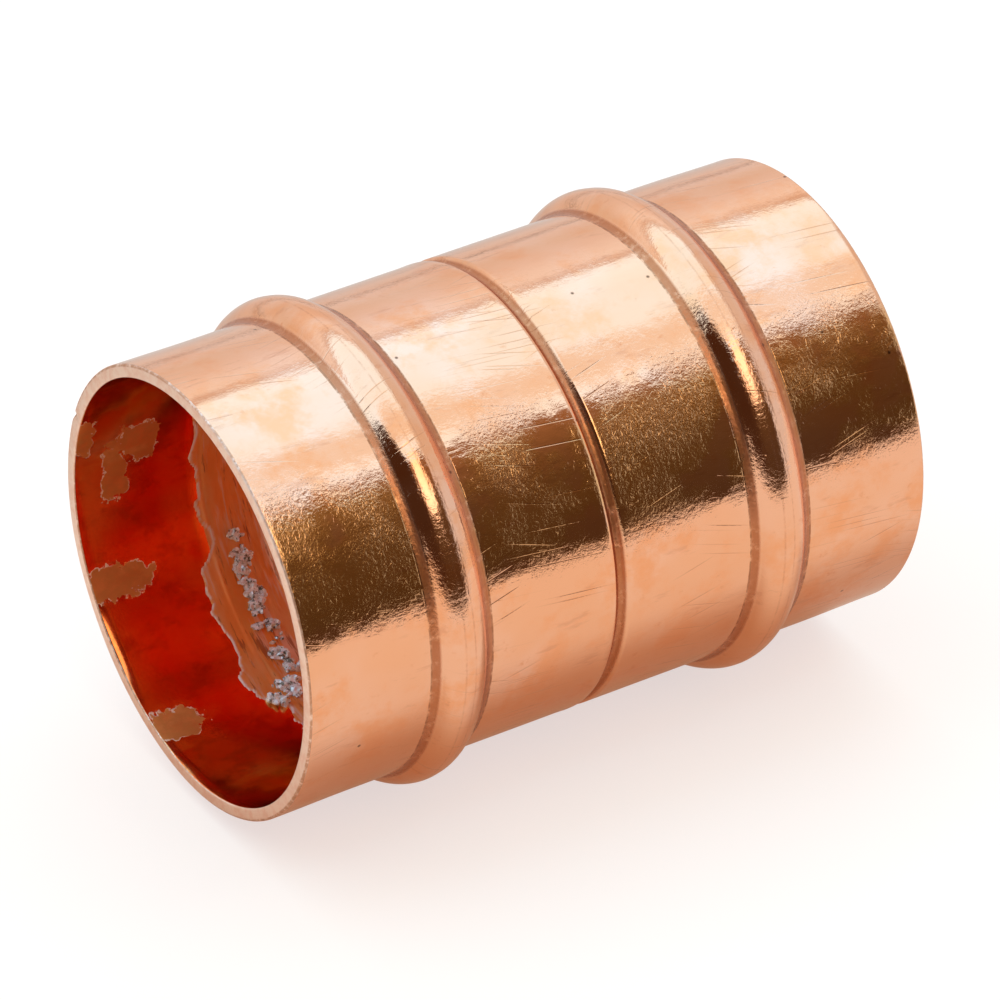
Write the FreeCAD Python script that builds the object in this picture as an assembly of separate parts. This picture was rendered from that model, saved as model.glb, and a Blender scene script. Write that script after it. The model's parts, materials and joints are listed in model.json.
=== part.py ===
"""Straight coupling for 28 mm copper tube, with a ring of solder held in a bead near each mouth.

Row frame: +X runs along the bore, from the front socket to the rear one, +Z is up, and the origin
is on the bore's axis at mid-length. Lengths are in millimetres.

The coupling is three pieces: one drawn copper sleeve and two rings of solder. The sleeve's wall is
rolled outwards into two beads, which hold the solder, and inwards at mid-length into the stop
that each tube butts against.
"""

import FreeCAD
import Part

import math
import os

# Driving dimensions
LENGTH = 45.6
BORE_RADIUS = 14.05          # 28 mm tube slides in with 0.05 mm all round
WALL = 0.9
BEAD_FROM_MOUTH = 11.0       # from a mouth to the middle of its bead
BEAD_HALF_WIDTH = 2.2
BEAD_HEIGHT = 1.13
BEAD_CROWN_RADIUS = 2.0      # outside; the inside follows one wall thickness below
STOP_GROOVE_HALF_WIDTH = 0.55
STOP_GROOVE_DEPTH = 0.36
STOP_GROOVE_FLOOR_RADIUS = 0.42
STOP_RIDGE_HALF_WIDTH = 1.35
STOP_RIDGE_HEIGHT = 0.62
STOP_RIDGE_CREST_RADIUS = 0.95
MOUTH_OUTER_ROUND = 0.16
MOUTH_INNER_ROUND = 0.12
SOLDER_RECESS = 0.02         # the solder's face lies this far below the bore's wall

# Worked out from them
HALF_LENGTH = LENGTH / 2
OUTER_RADIUS = BORE_RADIUS + WALL
BEAD_X = HALF_LENGTH - BEAD_FROM_MOUTH
GROOVE_CROWN_RADIUS = BEAD_CROWN_RADIUS - WALL
RIGHT_ANGLE = math.pi / 2


def point(x, radius):
    """A point of a section, in the half-plane above the bore's axis."""
    return FreeCAD.Vector(x, 0, radius)


def line(start, end):
    return Part.LineSegment(start, end).toShape()


def arc(centre, radius, start_angle, end_angle):
    """An arc in the section's plane, with angles from +X towards +Z."""
    angles = (start_angle, (start_angle + end_angle) / 2, end_angle)
    points = [centre + point(radius * math.cos(a), radius * math.sin(a)) for a in angles]
    return Part.Arc(*points).toShape()


class Roll:
    """A rolled rise or dip in a straight wall: a crown arc between two fillets, all tangent."""

    def __init__(self, x, wall_radius, half_width, rise, crown_radius, side):
        """side is +1 where the wall is rolled outwards and -1 where it is rolled inwards."""
        reach = (half_width**2 + rise**2) / (2 * rise)
        self.x = x
        self.side = side
        self.wall_radius = wall_radius
        self.half_width = half_width
        self.crown_radius = crown_radius
        self.fillet_radius = reach - crown_radius
        self.lean = math.asin(half_width / reach)
        self.crown_centre = point(x, wall_radius + side * (rise - crown_radius))

    def foot(self, end):
        """Where the roll leaves the straight wall, at its -X end (-1) or its +X end (+1)."""
        return point(self.x + end * self.half_width, self.wall_radius)

    def fillet_centre(self, end):
        return self.foot(end) + point(0, self.side * self.fillet_radius)

    def fillet(self, end, trim=0.0):
        """One fillet, from the foot to the crown. trim leaves out that angle next to the foot."""
        start = -self.side * (RIGHT_ANGLE - trim)
        finish = -self.side * (RIGHT_ANGLE - self.lean)
        if end > 0:
            start, finish = -self.side * math.pi - start, -self.side * math.pi - finish
        return arc(self.fillet_centre(end), self.fillet_radius, start, finish)

    def crown(self):
        start = self.side * (RIGHT_ANGLE + self.lean)
        finish = self.side * (RIGHT_ANGLE - self.lean)
        return arc(self.crown_centre, self.crown_radius, start, finish)

    def edges(self):
        return [self.fillet(-1), self.crown(), self.fillet(+1)]


def bead(x):
    """The outside of a bead."""
    return Roll(x, OUTER_RADIUS, BEAD_HALF_WIDTH, BEAD_HEIGHT, BEAD_CROWN_RADIUS, +1)


def solder_groove(x):
    """The inside of a bead, which the solder fills."""
    return Roll(x, BORE_RADIUS, BEAD_HALF_WIDTH, BEAD_HEIGHT, GROOVE_CROWN_RADIUS, +1)


def stop_groove():
    """The line rolled round the outside at mid-length."""
    return Roll(
        0, OUTER_RADIUS, STOP_GROOVE_HALF_WIDTH, STOP_GROOVE_DEPTH, STOP_GROOVE_FLOOR_RADIUS, -1
    )


def stop_ridge():
    """The ridge that the same roll raises inside, which a tube's end meets."""
    return Roll(
        0, BORE_RADIUS, STOP_RIDGE_HALF_WIDTH, STOP_RIDGE_HEIGHT, STOP_RIDGE_CREST_RADIUS, -1
    )


def wall_edges(rolls, radius, outer_limit):
    """The edges of one side of the sleeve, from the front mouth to the rear one."""
    edges = []
    reached = point(-outer_limit, radius)
    for roll in rolls:
        edges.append(line(reached, roll.foot(-1)))
        edges.extend(roll.edges())
        reached = roll.foot(+1)
    edges.append(line(reached, point(outer_limit, radius)))
    return edges


def mouth_edges(end):
    """The flat end face of one mouth (-1 front, +1 rear) with its two rounded edges."""
    x = end * HALF_LENGTH
    outer_centre = point(x - end * MOUTH_OUTER_ROUND, OUTER_RADIUS - MOUTH_OUTER_ROUND)
    inner_centre = point(x - end * MOUTH_INNER_ROUND, BORE_RADIUS + MOUTH_INNER_ROUND)
    facing = 0 if end > 0 else math.pi
    towards_bore = -RIGHT_ANGLE if end > 0 else 3 * RIGHT_ANGLE
    return [
        arc(outer_centre, MOUTH_OUTER_ROUND, RIGHT_ANGLE, facing),
        line(point(x, outer_centre.z), point(x, inner_centre.z)),
        arc(inner_centre, MOUTH_INNER_ROUND, facing, towards_bore),
    ]


def revolve(edges):
    """The solid swept by a closed section turned once round the bore's axis."""
    wire = Part.Wire(Part.__sortEdges__(edges))
    face = Part.Face(wire)
    return face.revolve(FreeCAD.Vector(0, 0, 0), FreeCAD.Vector(1, 0, 0), 360)


def coupling_body():
    outside = wall_edges(
        [bead(-BEAD_X), stop_groove(), bead(BEAD_X)],
        OUTER_RADIUS,
        HALF_LENGTH - MOUTH_OUTER_ROUND,
    )
    inside = wall_edges(
        [solder_groove(-BEAD_X), stop_ridge(), solder_groove(BEAD_X)],
        BORE_RADIUS,
        HALF_LENGTH - MOUTH_INNER_ROUND,
    )
    return revolve(outside + mouth_edges(+1) + inside + mouth_edges(-1))


def solder_ring(x):
    """The ring of solder that fills a bead's groove, a hair below the bore's wall."""
    groove = solder_groove(x)
    trim = math.acos(1 - SOLDER_RECESS / groove.fillet_radius)
    front, crown, rear = groove.fillet(-1, trim), groove.crown(), groove.fillet(+1, trim)
    reach = groove.half_width - groove.fillet_radius * math.sin(trim)
    face_radius = BORE_RADIUS + SOLDER_RECESS
    face = line(point(x - reach, face_radius), point(x + reach, face_radius))
    return revolve([front, crown, rear, face])


def save(name, shape):
    """Writes one sub-part, after checking that it is a single closed solid."""
    solid = shape if shape.ShapeType == "Solid" else Part.Solid(shape.Shells[0])
    if not solid.isValid() or solid.Volume <= 0:
        raise ValueError(f"{name} is not a valid solid")
    solid.exportStep(os.path.join("parts", name + ".step"))
    print(f"{name}: {solid.Volume:.1f} mm3, box {solid.BoundBox}")


os.makedirs("parts", exist_ok=True)
save("coupling_body", coupling_body())
save("front_solder_ring", solder_ring(-BEAD_X))
save("rear_solder_ring", solder_ring(BEAD_X))
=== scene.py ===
"""The looks of a solder ring pipe coupling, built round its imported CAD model.

Everything is in the CAD frame: +X along the bore from the front mouth to the rear one, +Z up. The
part's sizes are in millimetres, and its meshes are scaled to metres as they are made. The studio's
and the camera's are in metres. A place round the bore's axis is a clock angle in degrees: 0 faces
-Y, 90 is the top, 180 faces +Y and -90 is the floor.
"""

import json
import math

import bmesh
import bpy
import numpy as np
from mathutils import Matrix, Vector


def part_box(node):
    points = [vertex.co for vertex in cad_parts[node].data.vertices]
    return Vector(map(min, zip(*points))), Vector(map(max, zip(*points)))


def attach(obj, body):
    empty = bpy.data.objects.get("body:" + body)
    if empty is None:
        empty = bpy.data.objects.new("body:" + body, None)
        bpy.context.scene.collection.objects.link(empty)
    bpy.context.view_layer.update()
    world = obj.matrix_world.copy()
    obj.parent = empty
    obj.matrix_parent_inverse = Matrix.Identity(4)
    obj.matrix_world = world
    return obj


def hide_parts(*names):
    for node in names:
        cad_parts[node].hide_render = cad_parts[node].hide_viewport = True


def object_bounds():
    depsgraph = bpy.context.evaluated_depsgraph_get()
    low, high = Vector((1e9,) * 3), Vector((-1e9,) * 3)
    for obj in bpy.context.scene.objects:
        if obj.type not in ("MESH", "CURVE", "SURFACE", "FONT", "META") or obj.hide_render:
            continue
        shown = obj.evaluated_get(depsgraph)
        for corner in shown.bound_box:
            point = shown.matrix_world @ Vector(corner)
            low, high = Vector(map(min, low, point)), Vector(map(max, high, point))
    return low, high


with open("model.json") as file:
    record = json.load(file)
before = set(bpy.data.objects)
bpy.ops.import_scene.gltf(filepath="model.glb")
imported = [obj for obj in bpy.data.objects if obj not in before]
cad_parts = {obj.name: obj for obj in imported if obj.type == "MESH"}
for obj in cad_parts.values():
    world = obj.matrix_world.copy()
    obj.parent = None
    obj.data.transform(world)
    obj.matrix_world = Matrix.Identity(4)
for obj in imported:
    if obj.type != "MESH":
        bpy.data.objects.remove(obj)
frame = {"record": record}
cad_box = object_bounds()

MM = 0.001

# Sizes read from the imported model
body_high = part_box("coupling_body")[1]
ring_low, ring_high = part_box("rear_solder_ring")
HALF_LENGTH = body_high.x / MM
BEAD_TOP_RADIUS = body_high.z / MM
BORE_RADIUS = frame["record"]["mounts"][0]["dims"]["r_mm"]
BEAD_X = (ring_low.x + ring_high.x) / 2 / MM
FLOOR_Z = cad_box[0].z

# The rest of the sleeve's profile, as the CAD has it
WALL = 0.9
BEAD_HALF_WIDTH = 2.2
BEAD_CROWN_RADIUS = 2.0
STOP_GROOVE_HALF_WIDTH = 0.55
STOP_GROOVE_DEPTH = 0.36
STOP_GROOVE_FLOOR_RADIUS = 0.42
STOP_RIDGE_HALF_WIDTH = 1.35
STOP_RIDGE_HEIGHT = 0.62
STOP_RIDGE_CREST_RADIUS = 0.95
MOUTH_OUTER_ROUND = 0.16
MOUTH_INNER_ROUND = 0.12
OUTER_RADIUS = BORE_RADIUS + WALL
BEAD_HEIGHT = BEAD_TOP_RADIUS - OUTER_RADIUS
SOLDER_CROWN_RADIUS = BEAD_CROWN_RADIUS - WALL

# Mesh fineness
COLUMNS = 410
ARC_STEPS = 4


# ---------------------------------------------------------------- shape tools

GRID_MARGIN = 2.0   # how far a grid of random bumps reaches past the mouths


class Unevenness:
    """Smooth random bumps over the sleeve's surface, the same on every run."""

    def __init__(self, seed):
        self.random = np.random.default_rng(seed)

    def surface(self, x, clock, pitch_along, pitch_round):
        """Values from -1 to 1 on a grid of that pitch in millimetres, joined up round the axis."""
        cells_round = max(3, round(2 * math.pi * OUTER_RADIUS / pitch_round))
        cells_along = int(2 * (HALF_LENGTH + GRID_MARGIN) / pitch_along) + 3
        grid = self.random.uniform(-1, 1, (cells_along, cells_round))
        along = (x + HALF_LENGTH + GRID_MARGIN) / pitch_along
        around = (clock / 360 % 1) * cells_round
        i, j = np.floor(along).astype(int), np.floor(around).astype(int)
        u, v = smooth_step(along - i), smooth_step(around - j)
        j_next = (j + 1) % cells_round
        j = j % cells_round
        near = grid[i, j] * (1 - v) + grid[i, j_next] * v
        far = grid[i + 1, j] * (1 - v) + grid[i + 1, j_next] * v
        return near * (1 - u) + far * u

    def ring(self, clock, pitch_round):
        """Values from -1 to 1 round the axis only."""
        return self.surface(np.zeros_like(clock), clock, 2 * HALF_LENGTH, pitch_round)

    def bumps(self, x, clock, sizes):
        """The sum of several surfaces, from (height, pitch along, pitch round) sizes."""
        return sum(height * self.surface(x, clock, *pitches) for height, *pitches in sizes)

    def waves(self, clock, sizes):
        """The sum of several rings, from (height, pitch round) sizes."""
        return sum(height * self.ring(clock, pitch) for height, pitch in sizes)


def smooth_step(t):
    """0 up to 0 and 1 from 1, smooth between."""
    t = np.clip(t, 0, 1)
    return t * t * (3 - 2 * t)


def rise(value, start, full):
    """0 at start and 1 at full, smooth between. start may be above full."""
    return smooth_step((value - start) / (full - start))


def hump(value, centre, half_width):
    """1 at centre, falling away on both sides."""
    return np.exp(-(((value - centre) / half_width) ** 2))


def clock_gap(clock, centre):
    """The shorter way round from centre to clock, in degrees."""
    return (clock - centre + 180) % 360 - 180


def round_distance(clock, centre):
    """The same, in millimetres round the outside."""
    return np.radians(clock_gap(clock, centre)) * OUTER_RADIUS


def roll_height(offset, half_width, rise, crown_radius):
    """Height of a rolled bead or groove at an offset from its middle: a crown between two fillets."""
    reach = (half_width**2 + rise**2) / (2 * rise)
    fillet_radius = reach - crown_radius
    offset = np.abs(offset)
    crown = rise - crown_radius + np.sqrt(np.maximum(crown_radius**2 - offset**2, 0))
    to_foot = np.maximum(half_width - offset, 0)
    fillet = fillet_radius - np.sqrt(np.maximum(fillet_radius**2 - to_foot**2, 0))
    crown_half_width = crown_radius * half_width / reach
    return np.where(offset < crown_half_width, crown, np.where(to_foot > 0, fillet, 0))


def solder_groove_height(offset):
    """Height of a bead's inside above the bore's wall, at an offset from the bead's middle."""
    return roll_height(offset, BEAD_HALF_WIDTH, BEAD_HEIGHT, SOLDER_CROWN_RADIUS)


def stations(*stretches):
    """Row positions from (start, end, rows) stretches, with the last stretch's end included."""
    parts = [np.linspace(start, end, rows, endpoint=False) for start, end, rows in stretches]
    return np.concatenate([*parts, [stretches[-1][1]]])


def mirrored(stretches):
    """The stretches from the front mouth to mid-length, and then the same ones back to front."""
    return [*stretches, *[(-end, -start, rows) for start, end, rows in reversed(stretches)]]


def clock_columns():
    """The clock angle of each column of a turned mesh, as a single row."""
    return np.linspace(-180, 180, COLUMNS, endpoint=False)[None, :]


def lathe_mesh(name, x, radius, clock, materials, row_material):
    """A closed mesh from rows that go once round its section and columns that go round the axis."""
    rows, columns = x.shape
    angle = np.radians(clock)
    points = np.stack([x, -radius * np.cos(angle), radius * np.sin(angle)], axis=2) * MM
    i, j = np.meshgrid(np.arange(rows), np.arange(columns), indexing="ij")
    i_next, j_next = (i + 1) % rows, (j + 1) % columns
    corners = [
        i * columns + j,
        i_next * columns + j,
        i_next * columns + j_next,
        i * columns + j_next,
    ]
    faces = np.stack(corners, axis=2).reshape(-1, 4)
    piece = mesh_piece(name, points.reshape(-1, 3), faces, materials)
    piece.data.polygons.foreach_set("material_index", np.repeat(row_material, columns).astype(np.int32))
    piece.data.polygons.foreach_set("use_smooth", np.ones(len(faces), bool))
    piece.data.update()
    return piece


def mesh_piece(name, points, faces, materials):
    """A new object in the scene, from points in metres."""
    mesh = bpy.data.meshes.new(name)
    mesh.from_pydata(points.tolist(), [], faces.tolist())
    for material in materials:
        mesh.materials.append(material)
    piece = bpy.data.objects.new(name, mesh)
    bpy.context.scene.collection.objects.link(piece)
    return piece


# ---------------------------------------------------------------- the sleeve

# Rows from the front mouth to mid-length: start, end, number of rows
OUTSIDE_STRETCHES = [
    (-HALF_LENGTH + MOUTH_OUTER_ROUND, -14.3, 20),
    (-14.3, -9.3, 31),
    (-9.3, -1.2, 17),
    (-1.2, 0, 11),
]
INSIDE_STRETCHES = [
    (-HALF_LENGTH + MOUTH_INNER_ROUND, -14.1, 12),
    (-14.1, -9.5, 6),
    (-9.5, -1.5, 7),
    (-1.5, 0, 7),
]
OUTSIDE, CUT, INSIDE = 0, 1, 2   # the sleeve's material slots

# How uneven the sleeve is, as height, pitch along and pitch round
OUTSIDE_BUMPS = [(0.016, 16, 8), (0.006, 7, 3.5), (0.0022, 9, 1.3)]
INSIDE_BUMPS = [(0.03, 20, 6), (0.006, 12, 2)]
# How much its details stray along the bore, as distance and pitch round
BEAD_WANDER = [(0.05, 12), (0.025, 3)]
GROOVE_WANDER = [(0.045, 9)]
MOUTH_SKEW = [(0.03, 7)]

CROWN_LINE = 0.35                # from a bead's middle to the line that the roller left on it
CROWN_LINE_HALF_WIDTH = 0.22
CROWN_LINE_DEPTH = 0.022
GROOVE_LIP = -0.85               # from mid-length to the low lip in front of the groove
GROOVE_LIP_HALF_WIDTH = 0.34
GROOVE_LIP_HEIGHT = 0.025
SECOND_LINE_START = 22.0         # clock angle below which the mid groove has a deeper line in it
SECOND_LINE_HALF_WIDTH = 0.22
SECOND_LINE_DEPTH = 0.07
WEAR_LENGTH = (0.5, 0.1)         # from a mouth, where its wear begins and where it is full
CUT_BACK = 0.03                  # how much shorter than the CAD each mouth is, on average
OVAL_LENGTH = 6.0                # how far from a mouth it starts to go out of round
OVAL = 0.07                      # how far each mouth is out of round
FRONT_OVAL_CLOCK = 130.0         # where the front mouth is widest
REAR_OVAL_CLOCK = 40.0
NICK_CLOCK = 158.0               # the nick in the front rim
NICK_DEPTH = 0.2
NICK_HALF_WIDTH = 0.26
NICK_RADII = (0.4, 0.75)         # from the bore's wall, where it begins and where it is full


def outside_radius(x, clock):
    """The sleeve's outside with its beads and mid groove, none of them quite even."""
    uneven = Unevenness(11)
    radius = OUTER_RADIUS + uneven.bumps(x, clock, OUTSIDE_BUMPS)
    for bead_x in (-BEAD_X, BEAD_X):
        radius = radius + bead_height(x - bead_x, clock, uneven)
    return radius - mid_groove_depth(x, clock, uneven)


def bead_height(offset, clock, uneven):
    """A bead and the line rolled beside its crown."""
    wander = uneven.waves(clock, BEAD_WANDER)
    scale = 1 + 0.025 * uneven.ring(clock, 10)
    bead = roll_height(offset + wander, BEAD_HALF_WIDTH, BEAD_HEIGHT, BEAD_CROWN_RADIUS)
    line = smooth_step(1 - np.abs(offset - CROWN_LINE + wander) / CROWN_LINE_HALF_WIDTH)
    return bead * scale - CROWN_LINE_DEPTH * line * (0.6 + 0.4 * uneven.ring(clock, 4))


def mid_groove_depth(x, clock, uneven):
    """The groove at mid-length with the line inside it, less the low lip in front of it."""
    offset = x + uneven.waves(clock, GROOVE_WANDER)
    groove = roll_height(
        offset, STOP_GROOVE_HALF_WIDTH, STOP_GROOVE_DEPTH, STOP_GROOVE_FLOOR_RADIUS
    )
    lip = hump(offset, GROOVE_LIP, GROOVE_LIP_HALF_WIDTH)
    past_start = np.maximum(round_distance(clock, SECOND_LINE_START), 0)
    second_line = smooth_step(1.6 - np.hypot(offset, past_start) / SECOND_LINE_HALF_WIDTH)
    depth = groove * (1 + 0.12 * uneven.ring(clock, 5))
    return depth - GROOVE_LIP_HEIGHT * lip + SECOND_LINE_DEPTH * second_line


def inside_radius(x, clock):
    """The bore's wall with the insides of the beads and the stop ridge."""
    uneven = Unevenness(12)
    radius = BORE_RADIUS + uneven.bumps(x, clock, INSIDE_BUMPS)
    for bead_x in (-BEAD_X, BEAD_X):
        radius = radius + solder_groove_height(x - bead_x)
    ridge = roll_height(x, STOP_RIDGE_HALF_WIDTH, STOP_RIDGE_HEIGHT, STOP_RIDGE_CREST_RADIUS)
    return radius - ridge * (1 + 0.05 * uneven.ring(clock, 7))


def mouth_rows(end, clock):
    """Rows round a mouth's rounded edges, from the outside to the inside, for end -1 or +1."""
    x, radius = [], []
    for step in range(1, ARC_STEPS + 1):
        angle = math.pi / 2 * step / ARC_STEPS
        x.append(HALF_LENGTH - MOUTH_OUTER_ROUND * (1 - math.sin(angle)))
        radius.append(OUTER_RADIUS - MOUTH_OUTER_ROUND * (1 - math.cos(angle)))
    for step in range(ARC_STEPS):
        angle = math.pi / 2 * step / ARC_STEPS
        x.append(HALF_LENGTH - MOUTH_INNER_ROUND * (1 - math.cos(angle)))
        radius.append(BORE_RADIUS + MOUTH_INNER_ROUND * (1 - math.sin(angle)))
    grid = np.ones_like(clock)
    return end * np.array(x)[:, None] * grid, np.array(radius)[:, None] * grid


def mouth_wear(x, radius, clock):
    """The mouths' cut edges: slightly oval, not quite square, and with one nick in the front one."""
    uneven = Unevenness(13)
    widest = np.where(x < 0, FRONT_OVAL_CLOCK, REAR_OVAL_CLOCK)
    oval = np.cos(np.radians(2 * (clock - widest)))
    from_mouth = HALF_LENGTH - np.abs(x)
    radius = radius + OVAL * oval * rise(from_mouth, OVAL_LENGTH, 0)
    at_mouth = rise(from_mouth, *WEAR_LENGTH)
    x = x - np.sign(x) * at_mouth * (CUT_BACK + uneven.waves(clock, MOUTH_SKEW))
    nick = hump(round_distance(clock, NICK_CLOCK), 0, NICK_HALF_WIDTH)
    nick = nick * rise(radius - BORE_RADIUS, *NICK_RADII)
    x = x + np.where(x < 0, NICK_DEPTH * nick * at_mouth, 0)
    return x, radius


def sleeve(outside, cut, inside):
    """The whole sleeve: outside, rear rim, inside and front rim, as one closed skin."""
    clock = clock_columns()
    x_out = stations(*mirrored(OUTSIDE_STRETCHES))[:, None] * np.ones_like(clock)
    x_in = stations(*mirrored(INSIDE_STRETCHES))[::-1, None] * np.ones_like(clock)
    rear_x, rear_radius = mouth_rows(+1, clock)
    front_x, front_radius = mouth_rows(-1, clock)
    x = np.concatenate([x_out, rear_x, x_in, front_x[::-1]])
    radius = np.concatenate([
        outside_radius(x_out, np.broadcast_to(clock, x_out.shape)),
        rear_radius,
        inside_radius(x_in, np.broadcast_to(clock, x_in.shape)),
        front_radius[::-1],
    ])
    around = np.broadcast_to(clock, x.shape)
    x, radius = mouth_wear(x, radius, around)
    rim = [CUT] * len(rear_x)
    row_material = np.array([OUTSIDE] * len(x_out) + rim + [INSIDE] * len(x_in) + rim)
    return lathe_mesh("copper_sleeve", x, radius, around, [outside, cut, inside], row_material)


# ---------------------------------------------------------------- the solder

FILM_REACH = 4.4              # half the width of the band that solder may spread over
FILM_STRETCHES = [(-FILM_REACH, -1.4, 27), (-1.4, 1.4, 10), (1.4, FILM_REACH, 27)]
FILM_THICKNESS = 0.075
FILM_EDGE_WIDTH = 0.16
EDGE_HIGHLIGHT_HALF_WIDTH = 0.1    # of the pale line along the film's edge, partly a painted highlight
FILM_BUMPS = [(0.03, 1.2, 2.5), (0.015, 0.5, 0.6)]
BELOW_WALL = 0.03             # how far into the wall the ring's face lies where there is no film
RING_OVERLAP = 0.09           # the ring's back is this far into the sleeve's wall
RING_EDGE = 1.9               # from a bead's middle to the fine line round each edge of the ring
RING_EDGE_HALF_WIDTH = 0.22
RING_EDGE_DEPTH = 0.07

# How far the film spreads from the bead's middle. Waves are distance and pitch round.
MOUTHWARDS_SPREAD = 2.2
MOUTHWARDS_WAVES = [(0.25, 22), (0.45, 4), (0.5, 1.5), (0.28, 0.5)]
STOPWARDS_SPREAD = 2.3
STOPWARDS_WAVES = [(0.3, 6), (0.12, 1.2)]
POOL_SPREAD = 1.4             # how much further it spreads towards the mouth where it has pooled
POOL_HALF_ANGLE = 22.0        # half the angle over which it has pooled
POOL_FADE_ANGLE = 9.0
FRONT_POOL_CLOCK = -126.0
REAR_POOL_CLOCK = -70.0

# Clusters of hardened drops: offset from the bead's middle, clock angle, length round, number
FRONT_CLUSTERS = [
    (-0.5, -144, 1.7, 34),
    (-0.35, -134.5, 2.4, 44),
    (-0.2, -124, 2.6, 12),
    (-0.4, -115, 1.8, 30),
    (-1.3, -106.5, 1.3, 22),
    (-2.6, -104, 1.0, 9),
    (-0.4, -150, 1.4, 6),
]
REAR_CLUSTERS = [
    (0.4, -60, 2.4, 22),
    (0.2, -74, 3.0, 14),
    (0.5, -100, 2.0, 12),
    (-0.1, 30, 1.4, 8),
    (0.8, 160, 1.2, 7),
]
SMALLEST_DROP = 0.11
LARGEST_DROP = 0.38
DROP_SEAT = 0.04              # how far the face that the drops sit on stands out from the wall
DROP_STAND = 0.35             # how far a drop's middle stands out from that, as a part of its size
DROP_SQUASH = (0.45, 1.35)    # a drop's radius each way, as a part of its size
DROP_SCATTER = 0.32           # how far drops stray along the bore
DROP_CRUMPLE = 0.3            # how far a drop's corners stray, as a part of its radius


def film_margin(offset, clock, mouthwards, pool_clock, uneven):
    """How far offsets from the bead's middle are inside the film's ragged edge.

    mouthwards is -1 or +1, the side of the bead that the mouth is on.
    """
    from_pool_end = POOL_HALF_ANGLE - np.abs(clock_gap(clock, pool_clock))
    pool = smooth_step(from_pool_end / POOL_FADE_ANGLE + 0.5)
    mouth_side = MOUTHWARDS_SPREAD + POOL_SPREAD * pool + uneven.waves(clock, MOUTHWARDS_WAVES)
    stop_side = STOPWARDS_SPREAD + uneven.waves(clock, STOPWARDS_WAVES)
    return np.minimum(mouth_side - mouthwards * offset, stop_side + mouthwards * offset)


def solder_ring(name, bead_x, pool_clock, seed, material):
    """The ring in its groove, with a thin ragged film of solder spread over the bore on each side.

    The film reaches furthest towards the mouth round pool_clock. A point's "edge" value is 1 on
    the film's edge and 0 away from it.
    """
    uneven = Unevenness(seed)
    clock = clock_columns()
    offset = stations(*FILM_STRETCHES)[:, None] * np.ones_like(clock)
    around = np.broadcast_to(clock, offset.shape)
    margin = film_margin(offset, clock, math.copysign(1, bead_x), pool_clock, uneven)
    film = smooth_step(margin / FILM_EDGE_WIDTH + 0.5)
    ring_edge = hump(np.abs(offset), RING_EDGE, RING_EDGE_HALF_WIDTH)
    thickness = FILM_THICKNESS + uneven.bumps(offset, around, FILM_BUMPS)
    thickness = film * (thickness - RING_EDGE_DEPTH * ring_edge)
    face_radius = BORE_RADIUS + BELOW_WALL - thickness
    back_radius = BORE_RADIUS + RING_OVERLAP + solder_groove_height(offset)
    x = bead_x + np.concatenate([offset[::-1], offset])
    radius = np.concatenate([face_radius[::-1], back_radius])
    ring = lathe_mesh(name, x, radius, np.broadcast_to(clock, x.shape), [material], np.zeros(len(x)))
    edge = hump(margin, 0.02, EDGE_HIGHLIGHT_HALF_WIDTH)
    edge = np.concatenate([edge[::-1], np.zeros_like(edge)])
    layer = ring.data.attributes.new("edge", "FLOAT", "POINT")
    layer.data.foreach_set("value", edge.reshape(-1).astype(np.float32))
    return ring


def round_drop():
    """The corners and faces of a ball of radius 1."""
    shape = bpy.data.meshes.new("drop")
    build = bmesh.new()
    bmesh.ops.create_icosphere(build, subdivisions=2, radius=1.0)
    build.to_mesh(shape)
    build.free()
    points = np.array([vertex.co for vertex in shape.vertices])
    faces = np.array([polygon.vertices for polygon in shape.polygons])
    bpy.data.meshes.remove(shape)
    return points, faces


def solder_lumps(name, bead_x, clusters, seed, material):
    """Clusters of crumpled, hardened drops on the ring's face."""
    random = np.random.default_rng(seed)
    ball, ball_faces = round_drop()
    all_points, all_faces = [], []
    for offset, clock, length, number in clusters:
        for _ in range(number):
            size = random.uniform(SMALLEST_DROP, LARGEST_DROP)
            x = bead_x + offset + random.normal(0, DROP_SCATTER)
            shift = random.uniform(-0.5, 0.5) * length / BORE_RADIUS
            angle = math.radians(clock) + shift
            radius = BORE_RADIUS - DROP_SEAT - DROP_STAND * size
            centre = np.array([x, -radius * math.cos(angle), radius * math.sin(angle)])
            crumpled = ball * (1 + random.uniform(-DROP_CRUMPLE, DROP_CRUMPLE, (len(ball), 1)))
            squashed = crumpled * random.uniform(*DROP_SQUASH, 3) * size
            all_faces.append(ball_faces + len(ball) * len(all_points))
            all_points.append(squashed + centre)
    return mesh_piece(name, np.concatenate(all_points) * MM, np.concatenate(all_faces), [material])


# ---------------------------------------------------------------- material tools

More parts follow.
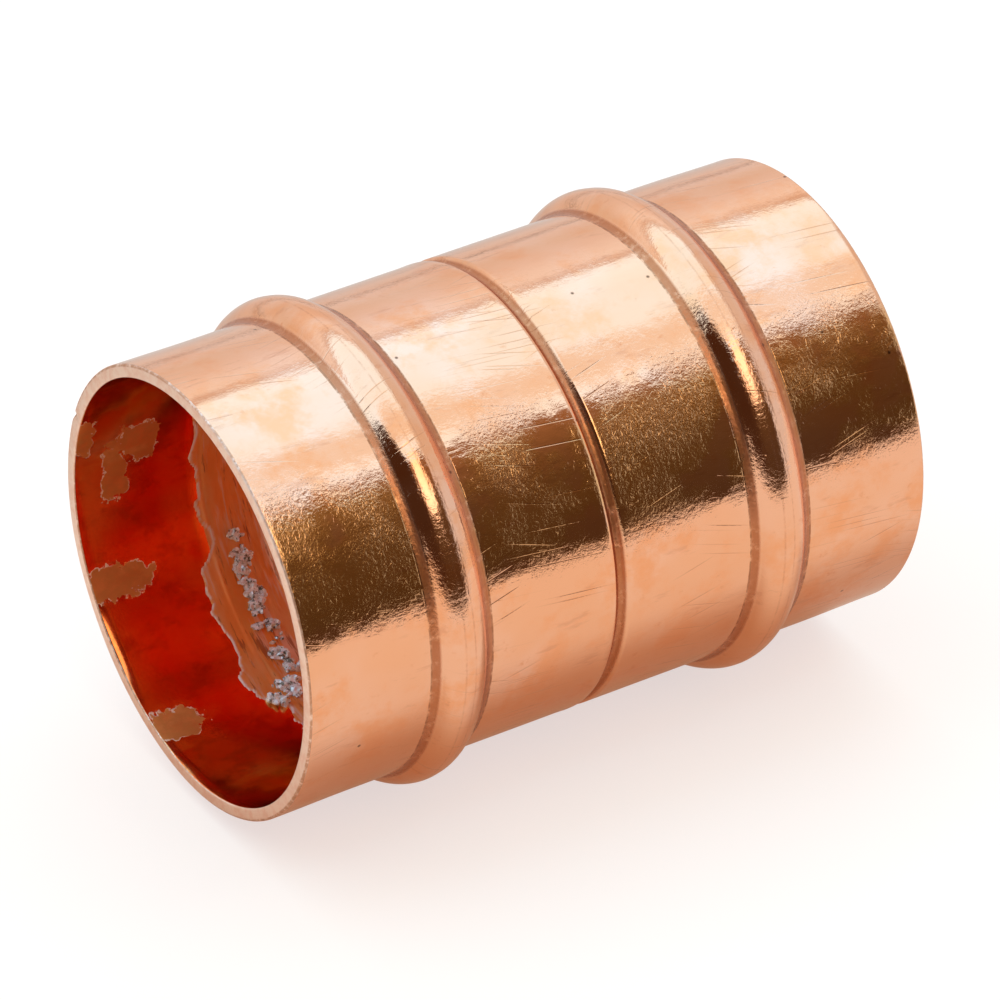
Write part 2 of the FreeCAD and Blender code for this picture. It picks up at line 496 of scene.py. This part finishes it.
class Nodes:
    """A node tree, with the few kinds of node that the materials and the studio light use."""

    def __init__(self, tree):
        self.tree = tree
        self.tree.nodes.clear()

    def node(self, kind, values=None, **settings):
        made = self.tree.nodes.new(kind)
        for name, value in settings.items():
            setattr(made, name, value)
        for key, value in (values or {}).items():
            self.feed(made.inputs[key], value)
        return made

    def feed(self, socket, value):
        """Links a socket to a node's output, or sets it to a plain value."""
        if isinstance(value, bpy.types.NodeSocket):
            self.tree.links.new(value, socket)
        else:
            socket.default_value = value

    def math(self, operation, *values, clamp=False):
        values = dict(enumerate(values))
        return self.node("ShaderNodeMath", values, operation=operation, use_clamp=clamp).outputs[0]

    def vector(self, operation, a, b=None, scale=None):
        values = {0: a}
        if b is not None:
            values[1] = b
        if scale is not None:
            values["Scale"] = scale
        return self.node("ShaderNodeVectorMath", values, operation=operation).outputs[0]

    def total(self, *values):
        result = values[0]
        for value in values[1:]:
            result = self.math("ADD", result, value)
        return result

    def times(self, *values):
        result = values[0]
        for value in values[1:]:
            result = self.math("MULTIPLY", result, value)
        return result

    def gap(self, value, centre):
        """How far value is from centre, either way."""
        return self.math("ABSOLUTE", self.math("SUBTRACT", value, centre))

    def step(self, value, low, high):
        """0 below low and 1 above high, smooth between. low may be above high."""
        values = {"Value": value, "From Min": low, "From Max": high}
        made = self.node("ShaderNodeMapRange", values, interpolation_type="SMOOTHSTEP")
        return made.outputs["Result"]

    def near(self, value, centre, inner, outer):
        """1 where value is within inner of centre, fading to 0 at outer."""
        return self.step(self.gap(value, centre), outer, inner)

    def mix(self, factor, a, b):
        """Colour a where factor is 0 and colour b where it is 1."""
        made = self.node("ShaderNodeMix", data_type="RGBA")
        self.feed(made.inputs[0], factor)
        self.feed(made.inputs[6], with_alpha(a))
        self.feed(made.inputs[7], with_alpha(b))
        return made.outputs[2]


def with_alpha(colour):
    """A plain red, green, blue colour as a socket wants it. A node's output stays as it is."""
    return colour if isinstance(colour, bpy.types.NodeSocket) else (*colour, 1)


class Shade(Nodes):
    """A material. Its places are in millimetres: along is from mid-length, round from the top."""

    def __init__(self, name):
        self.material = bpy.data.materials.new(name)
        self.material.use_nodes = True
        super().__init__(self.material.node_tree)
        self.shader = self.node("ShaderNodeBsdfPrincipled")
        output = self.node("ShaderNodeOutputMaterial")
        self.feed(output.inputs[0], self.shader.outputs[0])
        place = self.node("ShaderNodeTexCoord").outputs["Object"]
        self.place = self.vector("SCALE", place, scale=1 / MM)
        self.x, self.y, z = self.node("ShaderNodeSeparateXYZ", {0: self.place}).outputs
        self.along = self.math("ABSOLUTE", self.x)
        squares = self.total(self.times(self.y, self.y), self.times(z, z))
        self.radius = self.math("SQRT", squares)
        turn = self.math("ARCTAN2", self.times(self.y, -1.0), z)
        self.round = self.times(turn, OUTER_RADIUS)
        self.flat = self.node("ShaderNodeCombineXYZ", {0: self.x, 1: self.round}).outputs[0]

    def noise(self, scale, detail=2.0, roughness=0.5, stretch=(1, 1, 1), flat=False):
        """Noise from 0 to 1. A larger scale or stretch makes it finer. flat unrolls the sleeve."""
        place = self.vector("MULTIPLY", self.flat if flat else self.place, stretch)
        values = {"Vector": place, "Scale": scale, "Detail": detail, "Roughness": roughness}
        return self.node("ShaderNodeTexNoise", values).outputs["Fac"]

    def cells(self, place, scale):
        """Scattered cells: the distance to the nearest one's middle, and a random value for each."""
        values = {"Vector": place, "Scale": scale}
        made = self.node("ShaderNodeTexVoronoi", values, voronoi_dimensions="2D")
        channels = self.node("ShaderNodeSeparateColor", {0: made.outputs["Color"]})
        return made.outputs["Distance"], channels.outputs[0]

    def scratches(self, turn, along, across, density, seed):
        """Short straight scratches, one to a cell of along by across millimetres, turned round."""
        cosine, sine = math.cos(math.radians(turn)), math.sin(math.radians(turn))
        u = self.total(
            self.times(self.x, cosine / along), self.times(self.round, sine / along), float(seed)
        )
        v = self.total(self.times(self.x, -sine / across), self.times(self.round, cosine / across))
        place = self.node("ShaderNodeCombineXYZ", {0: u, 1: v}).outputs[0]
        distance, chance = self.cells(place, 1.0)
        return self.times(self.step(distance, 0.16, 0.02), self.step(chance, 1 - density, 1.0))

    def all_scratches(self, kinds):
        return self.total(*[self.scratches(*kind) for kind in kinds])

    def finish(self, colour, roughness, height, depth, metallic=1.0):
        """Feeds the shader. height is in units of depth, which is in millimetres."""
        self.feed(self.shader.inputs["Base Color"], colour)
        self.feed(self.shader.inputs["Roughness"], roughness)
        self.feed(self.shader.inputs["Metallic"], metallic)
        bump = self.node("ShaderNodeBump", {"Height": height, "Strength": 1.0, "Distance": depth * MM})
        self.feed(self.shader.inputs["Normal"], bump.outputs[0])
        return self.material


# ---------------------------------------------------------------- copper

COPPER = (0.86, 0.405, 0.215)
PINK_COPPER = (0.87, 0.45, 0.275)
ORANGE_COPPER = (0.86, 0.36, 0.165)
STAIN_ORANGE = (0.76, 0.28, 0.12)
# painted reflection colour: tints the glints in one worn strip gold
PAINTED_GLINT_GOLD = (0.80, 0.41, 0.15)
RUBBED_COPPER = (0.66, 0.27, 0.14)
BROWN_TARNISH = (0.43, 0.11, 0.03)
CREASE_BROWN = (0.30, 0.10, 0.035)
DARK_SPOT = (0.14, 0.05, 0.02)

HANDLED_ROUND = 13.0          # middle of the side that has been handled most, round from the top
PAINTED_GLINT_GOLD_ROUND = 14.8           # middle of the worn strip tinted gold as a painted reflection colour, so that its glints look gold
OUTSIDE_BUMP = 0.011
INSIDE_BUMP = 0.012

# Scratches: angle from the bore's axis, cell along, cell across, density, seed
LONG_SCRATCHES = [
    (7, 22.0, 0.30, 0.35, 17),
    (19, 16.0, 0.34, 0.3, 19),
    (-14, 13.0, 0.36, 0.25, 23),
]
FINE_SCRATCHES = [
    (14, 3.0, 0.24, 0.9, 0),
    (-38, 2.2, 0.22, 0.9, 3),
    (62, 1.8, 0.24, 0.9, 7),
    (105, 2.4, 0.22, 0.9, 11),
    (38, 1.5, 0.22, 0.9, 13),
    (80, 1.2, 0.20, 0.9, 15),
]


def rolling_marks(s, from_bead):
    """Tarnish at the beads' feet, in the mid groove and by the crowns, and creases at the feet."""
    ragged = s.noise(1.6, 5.0, 0.7)
    foot = s.near(from_bead, BEAD_HALF_WIDTH - 0.26, 0.18, 0.34)
    groove = s.near(s.x, 0.0, 0.28, 0.42)
    crown_line = s.times(s.near(from_bead, CROWN_LINE, 0.02, 0.10), s.step(ragged, 0.3, 0.8))
    marks = s.total(s.times(foot, 0.8), s.times(groove, 0.8), s.times(crown_line, 0.35))
    tarnish = s.times(marks, s.step(ragged, 0.1, 0.52))
    foot_line = s.near(from_bead, BEAD_HALF_WIDTH + 0.03, 0.03, 0.10)
    creases = s.times(foot_line, s.step(ragged, 0.3, 0.6), 0.8)
    return tarnish, creases


def outside_colour(s, from_bead, worn, tarnish, creases, deep):
    """Pink to orange copper with stains, smears and specks, and a gold tint painted over a worn strip
    so that its glints look gold: a painted reflection colour.
    """
    colour = s.mix(s.step(s.noise(0.11, 3.0), 0.38, 0.62), COPPER, PINK_COPPER)
    colour = s.mix(s.step(s.noise(0.24, 5.0, 0.66), 0.47, 0.68), colour, ORANGE_COPPER)
    stain = s.step(s.noise(0.75, 5.0, 0.7), 0.62, 0.74)
    colour = s.mix(s.times(stain, 0.6), colour, STAIN_ORANGE)
    # painted reflection colour: a gold tint over the worn strip, so that the glints there look gold
    painted_gold_glints = s.times(s.near(s.round, PAINTED_GLINT_GOLD_ROUND, 3.0, 4.6), s.step(worn, 0.2, 0.6))
    painted_gold_glints = s.times(painted_gold_glints, s.step(from_bead, 1.4, BEAD_HALF_WIDTH))
    colour = s.mix(s.times(painted_gold_glints, 0.7), colour, PAINTED_GLINT_GOLD)
    smear = s.step(s.noise(1.0, 4.0, 0.65, (0.25, 1.1, 1.1)), 0.58, 0.72)
    colour = s.mix(s.times(smear, 0.4), colour, RUBBED_COPPER)
    colour = s.mix(tarnish, colour, BROWN_TARNISH)
    colour = s.mix(creases, colour, CREASE_BROWN)
    colour = s.mix(s.times(deep, 0.3), colour, CREASE_BROWN)
    distance, chance = s.cells(s.flat, 0.22)
    speck = s.times(s.step(distance, 0.034, 0.012), s.step(chance, 0.78, 0.8))
    return s.mix(s.times(speck, 0.85), colour, DARK_SPOT)


def outside_height(s, from_bead, worn, tarnish, creases, deep):
    """Draw lines everywhere, grain and scratches where it is worn, and the marks of the rollers."""
    draw_lines = s.noise(1.0, 4.0, 0.7, (0.06, 2.6, 2.6))
    broad_lines = s.noise(1.0, 2.0, 0.5, (0.04, 0.8, 0.8))
    grain = s.noise(3.6, 3.0, 0.62)
    brushed = s.noise(1.0, 3.0, 0.65, (4.6, 1.7, 1.0), flat=True)
    chatter = s.noise(1.0, 3.0, 0.6, (0.45, 3.0, 3.0))
    chatter_zone = s.times(s.near(from_bead, 3.3, 0.6, 2.6), s.step(s.noise(0.3), 0.40, 0.58))
    rolled = s.noise(1.0, 3.0, 0.6, (4.0, 0.3, 0.3))
    bead_zone = s.near(from_bead, 0.0, 1.9, 2.3)
    pitting = s.noise(3.4, 3.0, 0.7)
    patchy = s.step(s.noise(0.55, 3.0, 0.6), 0.42, 0.62)
    scratched = s.total(s.times(worn, patchy, 0.38), 0.07)
    return s.total(
        s.times(draw_lines, 0.35),
        s.times(broad_lines, 0.5),
        s.times(grain, s.total(s.times(worn, 2.7), 0.2)),
        s.times(brushed, worn, 1.4),
        s.times(chatter, chatter_zone, 1.1),
        s.times(rolled, bead_zone, 0.45),
        s.times(pitting, s.total(s.times(tarnish, 2.6), s.times(bead_zone, 0.8))),
        s.times(s.all_scratches(FINE_SCRATCHES), scratched, -1.0),
        s.times(deep, -0.7),
        s.times(creases, -1.2),
    )


def copper_outside():
    s = Shade("drawn_copper")
    from_bead = s.gap(s.along, BEAD_X)
    handled = s.total(s.times(s.near(s.round, HANDLED_ROUND, 3.0, 9.5), 0.75), 0.25)
    worn = s.times(s.step(s.noise(0.2, 3.0, 0.6), 0.3, 0.6), handled)
    tarnish, creases = rolling_marks(s, from_bead)
    deep = s.all_scratches(LONG_SCRATCHES)
    colour = outside_colour(s, from_bead, worn, tarnish, creases, deep)
    height = outside_height(s, from_bead, worn, tarnish, creases, deep)
    roughness = s.total(s.times(worn, 0.08), s.times(tarnish, 0.28), 0.07)
    metallic = s.math("SUBTRACT", 1.0, s.times(tarnish, 0.12))
    return s.finish(colour, roughness, height, OUTSIDE_BUMP, metallic)


PALE_CUT = (0.95, 0.66, 0.50)
DARK_CUT = (0.90, 0.55, 0.39)
RIM_BROWN = (0.52, 0.21, 0.09)


def copper_cut():
    """The rims, with a thin brown line round each edge."""
    s = Shade("cut_copper")
    colour = s.mix(s.step(s.noise(1.6, 4.0, 0.6), 0.4, 0.65), PALE_CUT, DARK_CUT)
    ragged = s.step(s.noise(2.2, 4.0, 0.65), 0.32, 0.56)
    outer_edge = s.step(s.radius, OUTER_RADIUS - 0.15, OUTER_RADIUS - 0.05)
    inner_edge = s.step(s.radius, BORE_RADIUS + 0.10, BORE_RADIUS + 0.03)
    colour = s.mix(s.times(s.total(outer_edge, inner_edge), ragged, 0.8), colour, RIM_BROWN)
    sawn = s.noise(4.5, 4.0, 0.7)
    roughness = s.total(s.times(sawn, 0.3), 0.22)
    return s.finish(colour, roughness, sawn, 0.05)


RED_COPPER = (0.90, 0.25, 0.07)
DEEP_RED = (0.86, 0.13, 0.022)
BROWN_RED = (0.62, 0.16, 0.045)
BRIGHT_ORANGE = (0.93, 0.40, 0.12)
FLUX_BROWN = (0.62, 0.23, 0.055)
FLUX_EDGE = (0.92, 0.66, 0.48)
GRAZING_RED = (0.72, 0.34, 0.20)   # keeps the oxide red where it is seen at a shallow angle

# Dried flux inside the sockets: depth from the mouth, clock angle, half length along, half width round
FLUX_PATCHES = [
    (4.6, 172, 1.3, 1.5),
    (3.0, 180, 0.8, 2.2),
    (1.2, -150, 1.7, 1.0),
    (3.2, -150, 1.2, 0.9),
    (1.6, -108, 1.6, 1.1),
    (0.5, 165, 0.8, 1.4),
    (5.6, 110, 1.5, 1.2),
    (2.4, -40, 1.8, 1.2),
    (6.2, -20, 1.2, 1.6),
    (3.0, 40, 1.4, 1.8),
]


def flux_level(s, depth):
    """Above 0 inside a patch of dried flux and below 0 outside, with a ragged border."""
    ragged = s.times(s.math("SUBTRACT", s.noise(0.9, 5.0, 0.62), 0.5), 2.6)
    level = -1.0
    for patch_depth, clock, half_along, half_round in FLUX_PATCHES:
        middle = math.radians(clock_gap(90, clock)) * OUTER_RADIUS
        u = s.times(s.math("SUBTRACT", depth, patch_depth), 1 / half_along)
        v = s.times(s.math("SUBTRACT", s.round, middle), 1 / half_round)
        reach = s.math("SQRT", s.total(s.times(u, u), s.times(v, v)))
        level = s.math("MAXIMUM", level, s.math("SUBTRACT", 1.15, s.total(reach, ragged)))
    return level


def inside_colour(s, depth, flux, outline):
    """Red oxide, brighter orange by the solder, mottled, with brown flux in pale outlines."""
    colour = s.mix(s.step(s.noise(0.16, 3.0), 0.4, 0.62), RED_COPPER, DEEP_RED)
    by_solder = s.times(s.near(depth, 7.4, 0.5, 2.2), s.step(s.noise(0.45, 3.0), 0.32, 0.55))
    warm = s.times(s.step(s.noise(0.28, 4.0, 0.6, (0.5, 1, 1)), 0.54, 0.64), 0.7)
    colour = s.mix(s.math("MAXIMUM", by_solder, warm), colour, BRIGHT_ORANGE)
    mottled = s.step(s.noise(0.5, 6.0, 0.7, (0.7, 1, 1)), 0.47, 0.62)
    colour = s.mix(s.times(mottled, 0.7), colour, BROWN_RED)
    cloudy = s.total(s.times(s.noise(1.6, 4.0, 0.65), 1.1), 0.12)
    colour = s.mix(s.times(flux, cloudy), colour, FLUX_BROWN)
    return s.mix(outline, colour, FLUX_EDGE)


def copper_inside():
    s = Shade("oxidised_copper")
    depth = s.math("SUBTRACT", HALF_LENGTH, s.along)
    level = flux_level(s, depth)
    flux = s.step(level, 0.0, 0.04)
    outline = s.times(s.near(level, 0.0, 0.02, 0.08), s.step(s.noise(1.2, 3.0), 0.42, 0.54))
    draw_lines = s.noise(1.0, 3.0, 0.6, (0.06, 2.5, 2.5))
    grain = s.noise(5.0, 3.0, 0.6)
    height = s.total(
        s.times(draw_lines, 0.4), s.times(grain, 0.2), s.times(flux, 0.8), s.times(outline, 1.2)
    )
    roughness = s.total(s.times(grain, 0.08), s.times(flux, 0.32), s.times(outline, 0.2), 0.13)
    dull = s.total(s.times(flux, 0.35), s.times(outline, 0.3))
    metallic = s.math("SUBTRACT", 1.0, dull, clamp=True)
    s.feed(s.shader.inputs["Specular Tint"], with_alpha(GRAZING_RED))
    colour = inside_colour(s, depth, flux, outline)
    return s.finish(colour, roughness, height, INSIDE_BUMP, metallic)


# ---------------------------------------------------------------- solder

FILM_TAN = (0.94, 0.45, 0.16)
FILM_ORANGE = (0.95, 0.33, 0.065)
FILM_STREAK = (0.93, 0.62, 0.42)
FILM_SHADOW = (0.36, 0.10, 0.03)
# partly the tin's own pale edge, partly a painted highlight
FILM_EDGE_PAINTED_HIGHLIGHT = (1.0, 0.92, 0.84)
BRIGHT_TIN = (1.0, 0.98, 0.90)
# painted sparkle: the dark of the drops' facet reflections
PAINTED_SPARKLE_DARK = (0.22, 0.22, 0.16)


def cast_solder():
    """The ring and its film, stained by the copper, with a pale broken line along the edge that is
    partly the tin's own pale edge and partly a painted highlight.
    """
    s = Shade("cast_solder")
    edge = s.node("ShaderNodeAttribute", attribute_name="edge").outputs["Fac"]
    stained = s.step(s.noise(0.35, 4.0, 0.6, (1.6, 0.6, 0.6)), 0.3, 0.6)
    colour = s.mix(stained, FILM_TAN, FILM_ORANGE)
    streak = s.step(s.noise(1.0, 4.0, 0.6, (1.9, 0.22, 0.22)), 0.52, 0.66)
    colour = s.mix(s.times(streak, 0.75), colour, FILM_STREAK)
    shadow = s.step(s.noise(1.0, 4.0, 0.65, (2.6, 0.35, 0.35)), 0.56, 0.66)
    colour = s.mix(s.times(shadow, 0.7), colour, FILM_SHADOW)
    # painted highlight along the film's edge, over the tin's own pale edge
    painted_edge_highlight = s.times(edge, s.step(s.noise(1.3, 3.0), 0.36, 0.5))
    colour = s.mix(painted_edge_highlight, colour, FILM_EDGE_PAINTED_HIGHLIGHT)
    grain = s.noise(2.4, 4.0, 0.65)
    swirl = s.noise(1.0, 3.0, 0.6, (2.2, 0.5, 0.5))
    roughness = s.total(s.times(grain, 0.25), 0.30)
    metallic = s.math("SUBTRACT", 0.45, s.times(painted_edge_highlight, 0.3))
    return s.finish(colour, roughness, s.total(s.times(grain, 0.3), swirl), 0.04, metallic)


def bright_solder():
    """The drops: pale tin patched with dark, a painted sparkle of dark reflections over the tin's own
    pale colour.
    """
    s = Shade("bright_solder")
    grain = s.noise(3.0, 4.0, 0.7)
    # painted sparkle: dark patches among the pale tin stand for dark reflections
    colour = s.mix(s.step(grain, 0.53, 0.60), BRIGHT_TIN, PAINTED_SPARKLE_DARK)
    roughness = s.total(s.times(grain, 0.25), 0.05)
    return s.finish(colour, roughness, grain, 0.05, 0.2)


# ---------------------------------------------------------------- studio

# Light round the bore's axis, from the front horizon (0) over the top (90) to the back horizon (180)
STUDIO_ARC = [
    (0, (0.085, 0.052, 0.028)),
    (20, (0.11, 0.066, 0.032)),
    (34, (0.13, 0.08, 0.042)),
    (48, (0.22, 0.14, 0.07)),
    (62, (0.40, 0.26, 0.14)),
    (63.5, (1.3, 2.0, 2.8)),
    (70, (1.25, 1.9, 2.6)),
    (74, (1.1, 1.3, 1.42)),
    (86, (1.1, 1.38, 1.62)),
    (92, (1.2, 1.95, 2.85)),
    (112, (1.17, 1.9, 2.7)),
    (130.5, (1.25, 2.05, 3.0)),
    (132.5, (0.8, 0.85, 0.95)),
    (135, (0.85, 0.9, 1.0)),
    (138, (1.1, 1.4, 1.75)),
    (153, (0.96, 1.08, 1.24)),
    (165, (0.88, 0.93, 0.96)),
    (180, (0.91, 0.99, 1.07)),
]
BRIGHTEST = 4.0               # the arc's colours are divided by this to fit a colour ramp

# Walls and lamp. x is a direction's part along the bore, and turn its angle round the bore's axis.
PALE_WALL = (0.86, 0.98, 1.12)
PALE_WALL_X = (0.56, 0.68)    # where it begins and where it is full
DARK_ROOM = (0.07, 0.035, 0.018)
DARK_ROOM_X = (-0.42, -0.52)
DARK_ROOM_TOP = 62.0          # turn of its slanting top edge, at x = -0.5
DARK_ROOM_SLANT = -115.0      # how much the top edge's turn changes with x
DARK_ROOM_BORDER = 3.0
LAMP = (2.4, 2.2, 1.8)
LAMP_X = (-0.06, 0.24, 0.32)  # middle, half width, half width with its soft border
LAMP_TURN = (49, 12, 14)

FLOOR_FRONT_EDGE = -0.175
FLOOR_REACH = 1.6
FLOOR_COLOUR = (0.50, 0.37, 0.28)
FLOOR_GLOW = 0.62             # to the camera
REFLECTED_GLOW = 0.52
# Painted shadows in the table's glow as seen in reflections: darker and copper-coloured beneath the
# part, fainter behind it
PAINTED_SHADOW_UNDER_COLOUR = (0.50, 0.31, 0.20)
PAINTED_SHADOW_BEHIND_LOSS = 0.3             # how much of the glow seen in reflections is taken away behind the part, a painted shadow
PAINTED_SHADOW_JUST_BEHIND_LOSS = 0.25       # how much more of that painted shadow there is close behind
# Where on the floor each painted shadow begins and where it is full, in millimetres from the part's
# middle
PAINTED_SHADOW_UNDER_ACROSS = (26.0, 13.0)
PAINTED_SHADOW_UNDER_ALONG = (42.0, 26.0)
PAINTED_SHADOW_BEHIND = (20.0, 45.0)
PAINTED_SHADOW_JUST_BEHIND = (200.0, 60.0)


def studio_arc(s, turn):
    """The light at an angle round the bore's axis, in degrees."""
    ramp = s.node("ShaderNodeValToRGB", {0: s.times(turn, 1 / 180)})
    stops = ramp.color_ramp.elements
    stops.remove(stops[1])
    for index, (angle, light) in enumerate(STUDIO_ARC):
        stop = stops.new(angle / 180) if index else stops[0]
        stop.position = angle / 180
        stop.color = with_alpha([value / BRIGHTEST for value in light])
    return s.vector("SCALE", ramp.outputs[0], scale=BRIGHTEST)


def studio_world():
    """A soft box overhead, pale walls behind and to the right, a dark room in front and a lamp.

    The camera itself sees plain white.
    """
    world = bpy.data.worlds.new("studio")
    bpy.context.scene.world = world
    world.use_nodes = True
    s = Nodes(world.node_tree)
    direction = s.node("ShaderNodeTexCoord").outputs["Generated"]
    x, y, z = s.node("ShaderNodeSeparateXYZ", {0: direction}).outputs
    turn = s.times(s.math("ARCTAN2", z, s.times(y, -1.0)), 180 / math.pi)
    top_edge = s.total(s.times(s.total(x, 0.5), DARK_ROOM_SLANT), DARK_ROOM_TOP)
    above_top = s.math("SUBTRACT", turn, top_edge)
    below_top = s.step(above_top, DARK_ROOM_BORDER, -DARK_ROOM_BORDER)
    light = s.mix(s.times(s.step(x, *DARK_ROOM_X), below_top), studio_arc(s, turn), DARK_ROOM)
    light = s.mix(s.times(s.near(x, *LAMP_X), s.near(turn, *LAMP_TURN)), light, LAMP)
    light = s.mix(s.step(x, *PALE_WALL_X), light, PALE_WALL)
    shown = s.node("ShaderNodeBackground", {"Color": (1, 1, 1, 1), "Strength": 1.0})
    lit = s.node("ShaderNodeBackground", {"Color": light, "Strength": 1.0})
    seen = s.node("ShaderNodeLightPath").outputs["Is Camera Ray"]
    chosen = s.node("ShaderNodeMixShader", {0: seen, 1: lit.outputs[0], 2: shown.outputs[0]})
    s.feed(s.node("ShaderNodeOutputWorld").inputs[0], chosen.outputs[0])


def pale_table():
    """A pale table that glows a little, so that the part's shadow stays faint.

    In reflections its glow is fainter behind the part and darker and copper-coloured beneath it:
    painted shadows.
    """
    s = Shade("pale_table")
    seen = s.node("ShaderNodeLightPath").outputs["Is Camera Ray"]
    unseen = s.math("SUBTRACT", 1.0, seen)
    across = s.gap(s.y, 0.0)
    # painted contact shadow beneath the part, in reflections only
    painted_shadow_under = s.times(s.step(across, *PAINTED_SHADOW_UNDER_ACROSS), s.step(s.along, *PAINTED_SHADOW_UNDER_ALONG), unseen)
    # painted shadow behind the part, in reflections only
    painted_shadow_loss = s.total(s.times(s.step(s.y, *PAINTED_SHADOW_JUST_BEHIND), PAINTED_SHADOW_JUST_BEHIND_LOSS), PAINTED_SHADOW_BEHIND_LOSS)
    painted_shadow_behind_amount = s.times(s.step(s.y, *PAINTED_SHADOW_BEHIND), painted_shadow_loss)
    reflected_glow_less_painted_shadow = s.times(s.math("SUBTRACT", 1.0, painted_shadow_behind_amount), REFLECTED_GLOW)
    s.feed(s.shader.inputs["Base Color"], with_alpha(FLOOR_COLOUR))
    s.feed(s.shader.inputs["Roughness"], 0.8)
    s.feed(s.shader.inputs["Specular IOR Level"], 0.0)
    s.feed(s.shader.inputs["Emission Color"], s.mix(painted_shadow_under, (1, 1, 1), PAINTED_SHADOW_UNDER_COLOUR))
    glow = s.math("MAXIMUM", s.times(seen, FLOOR_GLOW), reflected_glow_less_painted_shadow)
    s.feed(s.shader.inputs["Emission Strength"], glow)
    return s.material


def studio_floor():
    corners = np.array([
        (-FLOOR_REACH, FLOOR_FRONT_EDGE, FLOOR_Z),
        (FLOOR_REACH, FLOOR_FRONT_EDGE, FLOOR_Z),
        (FLOOR_REACH, FLOOR_REACH, FLOOR_Z),
        (-FLOOR_REACH, FLOOR_REACH, FLOOR_Z),
    ])
    floor = mesh_piece("studio_floor", corners, np.array([(0, 1, 2, 3)]), [pale_table()])


CAMERA_AZIMUTH = -32.17
CAMERA_ELEVATION = 34.52
CAMERA_DISTANCE = 0.5494
CAMERA_LENS = 311.2
AIM_RIGHT = 0.00029
AIM_UP = -0.00101


def camera():
    azimuth, elevation = math.radians(CAMERA_AZIMUTH), math.radians(CAMERA_ELEVATION)
    back = Vector((
        math.sin(azimuth) * math.cos(elevation),
        -math.cos(azimuth) * math.cos(elevation),
        math.sin(elevation),
    ))
    made = bpy.data.objects.new("camera", bpy.data.cameras.new("camera"))
    made.rotation_mode = "QUATERNION"
    made.rotation_quaternion = (-back).to_track_quat("-Z", "Y")
    right = made.rotation_quaternion @ Vector((1, 0, 0))
    up = made.rotation_quaternion @ Vector((0, 1, 0))
    middle = (cad_box[0] + cad_box[1]) / 2
    made.location = middle + back * CAMERA_DISTANCE + right * AIM_RIGHT + up * AIM_UP
    made.data.sensor_width = 36
    made.data.lens = CAMERA_LENS
    made.data.clip_start, made.data.clip_end = 0.01, 10
    bpy.context.scene.collection.objects.link(made)
    bpy.context.scene.camera = made


# ---------------------------------------------------------------- assembly

def add_sleeve():
    piece = sleeve(copper_outside(), copper_cut(), copper_inside())
    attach(piece, "root")
    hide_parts("coupling_body")


def add_solder(side, bead_x, pool_clock, clusters, seed, film_material, drop_material):
    """One socket's solder: the ring with its film, and the drops on it."""
    ring = solder_ring(side + "_solder_film", bead_x, pool_clock, seed, film_material)
    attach(ring, "root")
    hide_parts(side + "_solder_ring")
    lumps = solder_lumps(side + "_solder_lumps", bead_x, clusters, seed + 1, drop_material)
    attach(lumps, "root")


solder = cast_solder()
drops = bright_solder()
add_sleeve()
add_solder("front", -BEAD_X, FRONT_POOL_CLOCK, FRONT_CLUSTERS, 21, solder, drops)
add_solder("rear", BEAD_X, REAR_POOL_CLOCK, REAR_CLUSTERS, 31, solder, drops)
studio_world()
studio_floor()
camera()
bpy.context.scene.view_settings.view_transform = "Standard"
